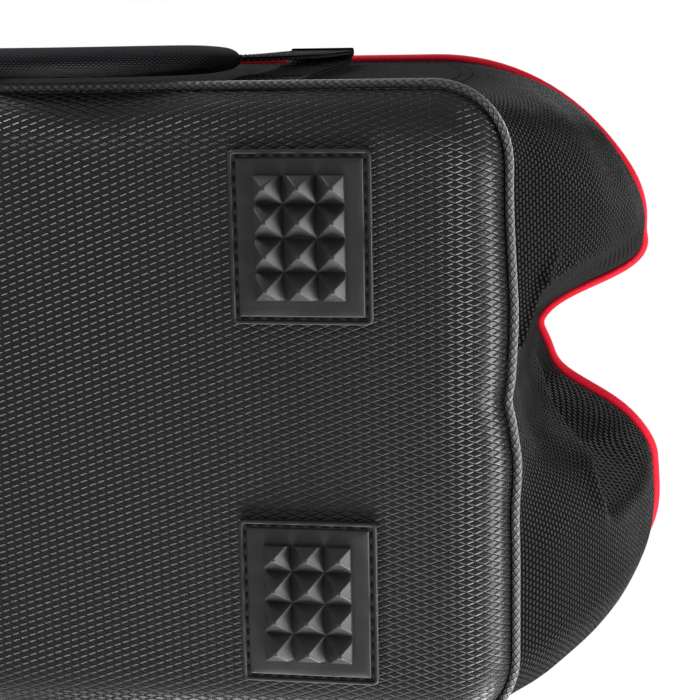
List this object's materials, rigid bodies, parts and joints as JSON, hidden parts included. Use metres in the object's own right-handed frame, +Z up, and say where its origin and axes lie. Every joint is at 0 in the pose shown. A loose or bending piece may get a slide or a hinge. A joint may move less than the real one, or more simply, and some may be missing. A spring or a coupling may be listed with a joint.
{
  "type": "helmet bag",
  "caption": "Soft-sided racing helmet bag with a stiffened base on studded rubber feet, a zipped lid hinged at the back, red piping and two webbing carry handles.",
  "frame": {"origin": "on the floor under the middle of the bag's footprint, level with the tips of the feet's studs", "axes": "+Z up, the front with the zip sliders faces -Y, the right end faces +X, the lid's hinge is at the back, +Y"},
  "size_m": [0.4782, 0.2904, 0.2676],
  "materials": {
    "embossed_vinyl": "embossed lattice, satin",
    "stiff_board": "matte",
    "foam": "open cell, matte",
    "lining": "brushed knit, matte",
    "welt": "satin",
    "foot_rubber": "soft satin moulding",
    "woven_fabric": "coarse weave, dull",
    "red_piping": "satin",
    "zip_tape": "ribbed weave, dull",
    "zip_coil": "satin",
    "slider_metal": "dark satin",
    "pull_metal": "satin",
    "webbing": "ribbed weave, dull",
    "grip_cover": "padded, dull"
  },
  "bodies": {
    "bag_body": {"base_panel": "embossed_vinyl", "base_board": "stiff_board", "base_foam": "foam", "floor_lining": "lining", "base_welt": "welt", "foot_front_right": "foot_rubber", "foot_front_left": "foot_rubber", "foot_back_right": "foot_rubber", "foot_back_left": "foot_rubber", "front_wall": "woven_fabric", "back_wall": "woven_fabric", "right_end_wall": "woven_fabric", "left_end_wall": "woven_fabric", "front_foam": "foam", "back_foam": "foam", "right_end_foam": "foam", "left_end_foam": "foam", "wall_lining": "lining", "rim_piping": "red_piping", "zip_tape_lower": "zip_tape", "zip_coil_lower": "zip_coil", "zip_stops": "slider_metal", "hinge_strip_lower": "zip_tape", "front_webbing": "webbing", "back_webbing": "webbing"},
    "lid": {"lid_band": "woven_fabric", "lid_top": "woven_fabric", "lid_piping": "red_piping", "lid_foam": "foam", "lid_lining": "lining", "zip_tape_upper": "zip_tape", "zip_coil_upper": "zip_coil", "hinge_strip_upper": "zip_tape"},
    "zip_slider_right": {"slider_right": "slider_metal"},
    "zip_pull_right": {"pull_right": "pull_metal"},
    "zip_slider_left": {"slider_left": "slider_metal"},
    "zip_pull_left": {"pull_left": "pull_metal"},
    "front_carry_handle": {"front_handle": "webbing", "front_grip": "grip_cover"},
    "back_carry_handle": {"back_handle": "webbing", "back_grip": "grip_cover"}
  },
  "joints": [
    {"name": "lid_hinge", "type": "hinge", "parent": "bag_body", "child": "lid", "pos_m": [0, 0.134, 0.2153], "axis": [1, 0, 0], "range_deg": [-105, 0]},
    {"name": "right_slider_slide", "type": "slide", "parent": "bag_body", "child": "zip_slider_right", "axis": [1, 0, 0], "range_m": [0, 0.105]},
    {"name": "left_slider_slide", "type": "slide", "parent": "bag_body", "child": "zip_slider_left", "axis": [-1, 0, 0], "range_m": [0, 0.155]},
    {"name": "right_pull_swing", "type": "hinge", "parent": "zip_slider_right", "child": "zip_pull_right", "pos_m": [0.0065, -0.1395, 0.2153], "axis": [-1, 0, 0], "range_deg": [0, 150]},
    {"name": "left_pull_swing", "type": "hinge", "parent": "zip_slider_left", "child": "zip_pull_left", "pos_m": [-0.0065, -0.1395, 0.2153], "axis": [-1, 0, 0], "range_deg": [0, 150]},
    {"name": "front_handle_swing", "type": "hinge", "parent": "bag_body", "child": "front_carry_handle", "pos_m": [0, -0.1392, 0.184], "axis": [-1, 0, 0], "range_deg": [0, 180]},
    {"name": "back_handle_swing", "type": "hinge", "parent": "bag_body", "child": "back_carry_handle", "pos_m": [0, 0.1392, 0.184], "axis": [1, 0, 0], "range_deg": [0, 180]}
  ]
}
